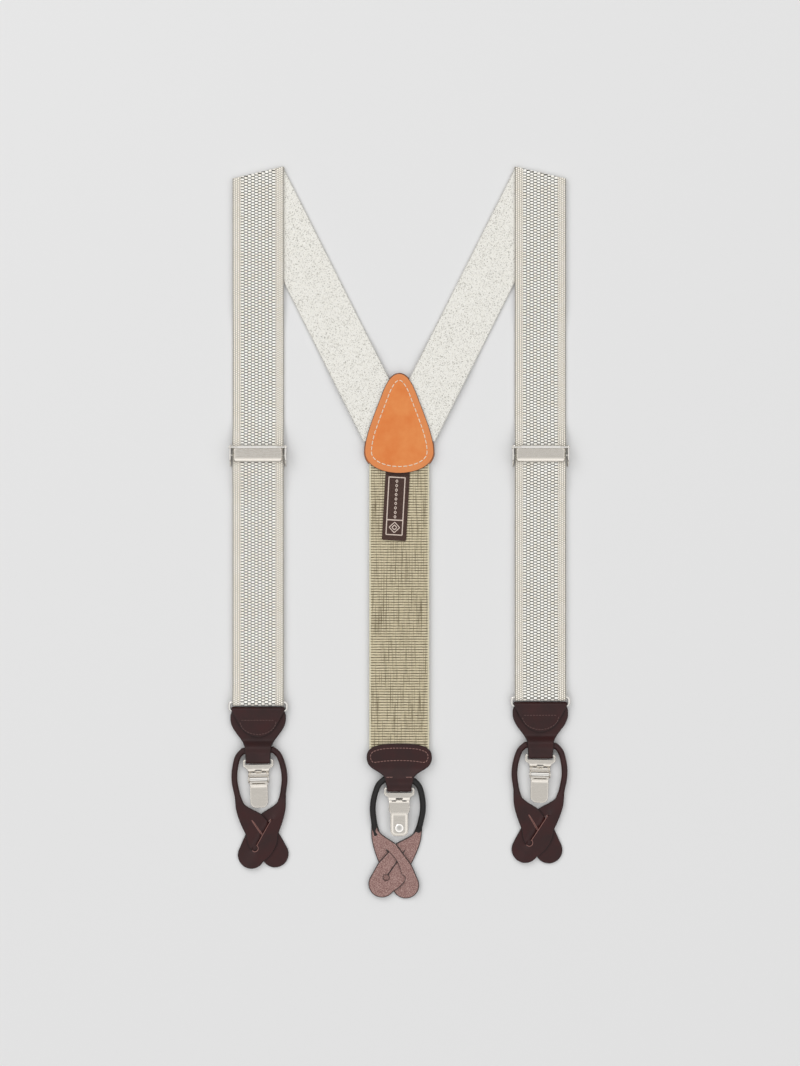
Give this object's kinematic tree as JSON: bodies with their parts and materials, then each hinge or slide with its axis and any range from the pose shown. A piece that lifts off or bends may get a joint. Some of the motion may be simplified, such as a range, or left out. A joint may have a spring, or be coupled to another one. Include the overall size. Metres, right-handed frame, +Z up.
{
  "type": "suspenders",
  "caption": "Y-back dress suspenders in woven webbing with a leather yoke, sliding adjusters, rolled-leather button loops and drop-in metal clips, laid flat.",
  "frame": {"origin": "centre of the yoke, on the underside of its outer leaf, which is the surface the suspenders lie on", "axes": "+Y to the shoulder folds, +X to the right of the laid-out suspenders, +Z up from the surface"},
  "size_m": [0.2342, 0.4995, 0.009],
  "materials": {
    "ivory_webbing": "woven honeycomb webbing",
    "khaki_elastic": "ribbed elastic webbing",
    "tan_leather": "vegetable tanned, satin",
    "dark_leather": "smooth finished, satin",
    "nickel_plate": "nickel plated sheet and wire",
    "clip_pad_nylon": "moulded nylon",
    "woven_label": "woven damask"
  },
  "bodies": {
    "root": {"yoke_outer_leather": "dark_leather", "yoke_inner_leather": "tan_leather", "left_back_strap": "ivory_webbing", "right_back_strap": "ivory_webbing", "rear_strap": "khaki_elastic"},
    "label": {"label": "woven_label"},
    "left_front": {"left_front_strap": "ivory_webbing"},
    "left_adjuster": {"left_adjuster_frame": "nickel_plate", "left_adjuster_pin": "nickel_plate"},
    "left_adjuster_lever": {"left_adjuster_lever": "nickel_plate"},
    "left_strap_end": {"left_strap_loop": "ivory_webbing"},
    "left_wire_ring": {"left_wire_ring": "nickel_plate"},
    "left_leather_end": {"left_leather_end": "dark_leather"},
    "left_button_loop": {"left_button_loop": "dark_leather"},
    "left_clip": {"left_clip_body": "nickel_plate", "left_clip_pin": "nickel_plate", "left_clip_pad": "clip_pad_nylon", "left_clip_rivet": "nickel_plate"},
    "left_clip_lever": {"left_clip_lever": "nickel_plate"},
    "right_front": {"right_front_strap": "ivory_webbing"},
    "right_adjuster": {"right_adjuster_frame": "nickel_plate", "right_adjuster_pin": "nickel_plate"},
    "right_adjuster_lever": {"right_adjuster_lever": "nickel_plate"},
    "right_strap_end": {"right_strap_loop": "ivory_webbing"},
    "right_wire_ring": {"right_wire_ring": "nickel_plate"},
    "right_leather_end": {"right_leather_end": "dark_leather"},
    "right_button_loop": {"right_button_loop": "dark_leather"},
    "right_clip": {"right_clip_body": "nickel_plate", "right_clip_pin": "nickel_plate", "right_clip_pad": "clip_pad_nylon", "right_clip_rivet": "nickel_plate"},
    "right_clip_lever": {"right_clip_lever": "nickel_plate"},
    "rear_end": {"rear_leather_end": "dark_leather"},
    "rear_button_loop": {"rear_button_loop": "dark_leather"},
    "rear_clip": {"rear_clip_body": "nickel_plate", "rear_clip_pin": "nickel_plate", "rear_clip_pad": "clip_pad_nylon", "rear_clip_rivet": "nickel_plate"},
    "rear_clip_lever": {"rear_clip_lever": "nickel_plate"}
  },
  "joints": [
    {"name": "label_lift", "type": "hinge", "parent": "root", "child": "label", "pos_m": [-0.0012, -0.0354, 0.0032], "axis": [-0.9985, 0.0541, 0], "range_deg": [0, 120]},
    {"name": "left_shoulder_fold", "type": "hinge", "parent": "root", "child": "left_front", "pos_m": [-0.0965, 0.1707, 0.00145], "axis": [-0.9732, -0.2301, 0], "range_deg": [0, 180]},
    {"name": "left_adjuster_slide", "type": "slide", "parent": "left_front", "child": "left_adjuster", "axis": [0, 1, 0], "range_m": [-0.12, 0.08], "deforming": ["left_front_strap"]},
    {"name": "left_adjuster_lever_flip", "type": "hinge", "parent": "left_adjuster", "child": "left_adjuster_lever", "pos_m": [-0.0965, -0.01615, 0.0077], "axis": [-1, 0, 0], "range_deg": [0, 95]},
    {"name": "left_strap_end_slide", "type": "slide", "parent": "left_adjuster", "child": "left_strap_end", "axis": [0, 1, 0], "range_m": [-0.04, 0.06], "deforming": ["left_strap_loop"]},
    {"name": "left_ring_swing", "type": "hinge", "parent": "left_strap_end", "child": "left_wire_ring", "pos_m": [-0.0965, -0.1904, 0.0029], "axis": [-1, 0, 0], "range_deg": [-60, 60]},
    {"name": "left_leather_end_swing", "type": "hinge", "parent": "left_wire_ring", "child": "left_leather_end", "pos_m": [-0.0965, -0.196, 0.0029], "axis": [-1, 0, 0], "range_deg": [-80, 80]},
    {"name": "left_button_loop_swing", "type": "hinge", "parent": "left_leather_end", "child": "left_button_loop", "pos_m": [-0.0965, -0.22335, 0.00355], "axis": [-0.9989, -0.0471, 0], "range_deg": [-90, 90]},
    {"name": "left_clip_swing", "type": "hinge", "parent": "left_leather_end", "child": "left_clip", "pos_m": [-0.0965, -0.23005, 0.003], "axis": [-0.9997, -0.0262, 0], "range_deg": [-90, 90]},
    {"name": "left_clip_lever_flip", "type": "hinge", "parent": "left_clip", "child": "left_clip_lever", "pos_m": [-0.09616, -0.24285, 0.0039], "axis": [-0.9997, -0.0262, 0], "range_deg": [0, 100]},
    {"name": "right_shoulder_fold", "type": "hinge", "parent": "root", "child": "right_front", "pos_m": [0.0965, 0.1707, 0.00145], "axis": [-0.9732, 0.2301, 0], "range_deg": [0, 180]},
    {"name": "right_adjuster_slide", "type": "slide", "parent": "right_front", "child": "right_adjuster", "axis": [0, 1, 0], "range_m": [-0.12, 0.08], "deforming": ["right_front_strap"]},
    {"name": "right_adjuster_lever_flip", "type": "hinge", "parent": "right_adjuster", "child": "right_adjuster_lever", "pos_m": [0.0965, -0.01615, 0.0077], "axis": [-1, 0, 0], "range_deg": [0, 95]},
    {"name": "right_strap_end_slide", "type": "slide", "parent": "right_adjuster", "child": "right_strap_end", "axis": [0, 1, 0], "range_m": [-0.04, 0.06], "deforming": ["right_strap_loop"]},
    {"name": "right_ring_swing", "type": "hinge", "parent": "right_strap_end", "child": "right_wire_ring", "pos_m": [0.0965, -0.187, 0.0029], "axis": [-1, 0, 0], "range_deg": [-60, 60]},
    {"name": "right_leather_end_swing", "type": "hinge", "parent": "right_wire_ring", "child": "right_leather_end", "pos_m": [0.0965, -0.1926, 0.0029], "axis": [-1, 0, 0], "range_deg": [-80, 80]},
    {"name": "right_button_loop_swing", "type": "hinge", "parent": "right_leather_end", "child": "right_button_loop", "pos_m": [0.0965, -0.21995, 0.00355], "axis": [-0.9995, 0.0314, 0], "range_deg": [-90, 90]},
    {"name": "right_clip_swing", "type": "hinge", "parent": "right_leather_end", "child": "right_clip", "pos_m": [0.0965, -0.22665, 0.003], "axis": [-0.9997, 0.0262, 0], "range_deg": [-90, 90]},
    {"name": "right_clip_lever_flip", "type": "hinge", "parent": "right_clip", "child": "right_clip_lever", "pos_m": [0.09616, -0.23945, 0.0039], "axis": [-0.9997, 0.0262, 0], "range_deg": [0, 100]},
    {"name": "rear_elastic_stretch", "type": "slide", "parent": "root", "child": "rear_end", "axis": [0, -1, 0], "range_m": [0, 0.06], "stiffness_N_per_m": 220, "deforming": ["rear_strap"]},
    {"name": "rear_button_loop_swing", "type": "hinge", "parent": "rear_end", "child": "rear_button_loop", "pos_m": [0, -0.2438, 0.00355], "axis": [-0.9986, 0.0523, 0], "range_deg": [-90, 90]},
    {"name": "rear_clip_swing", "type": "hinge", "parent": "rear_end", "child": "rear_clip", "pos_m": [0, -0.2493, 0.003], "axis": [-1, 0, 0], "range_deg": [-90, 90]},
    {"name": "rear_clip_lever_flip", "type": "hinge", "parent": "rear_clip", "child": "rear_clip_lever", "pos_m": [0, -0.2621, 0.0021], "axis": [1, 0, 0], "range_deg": [0, 100]}
  ],
  "couplings": [
    {"joint": "left_strap_end_slide", "follows": "left_adjuster_slide", "ratio": -0.5},
    {"joint": "right_strap_end_slide", "follows": "right_adjuster_slide", "ratio": -0.5}
  ]
}
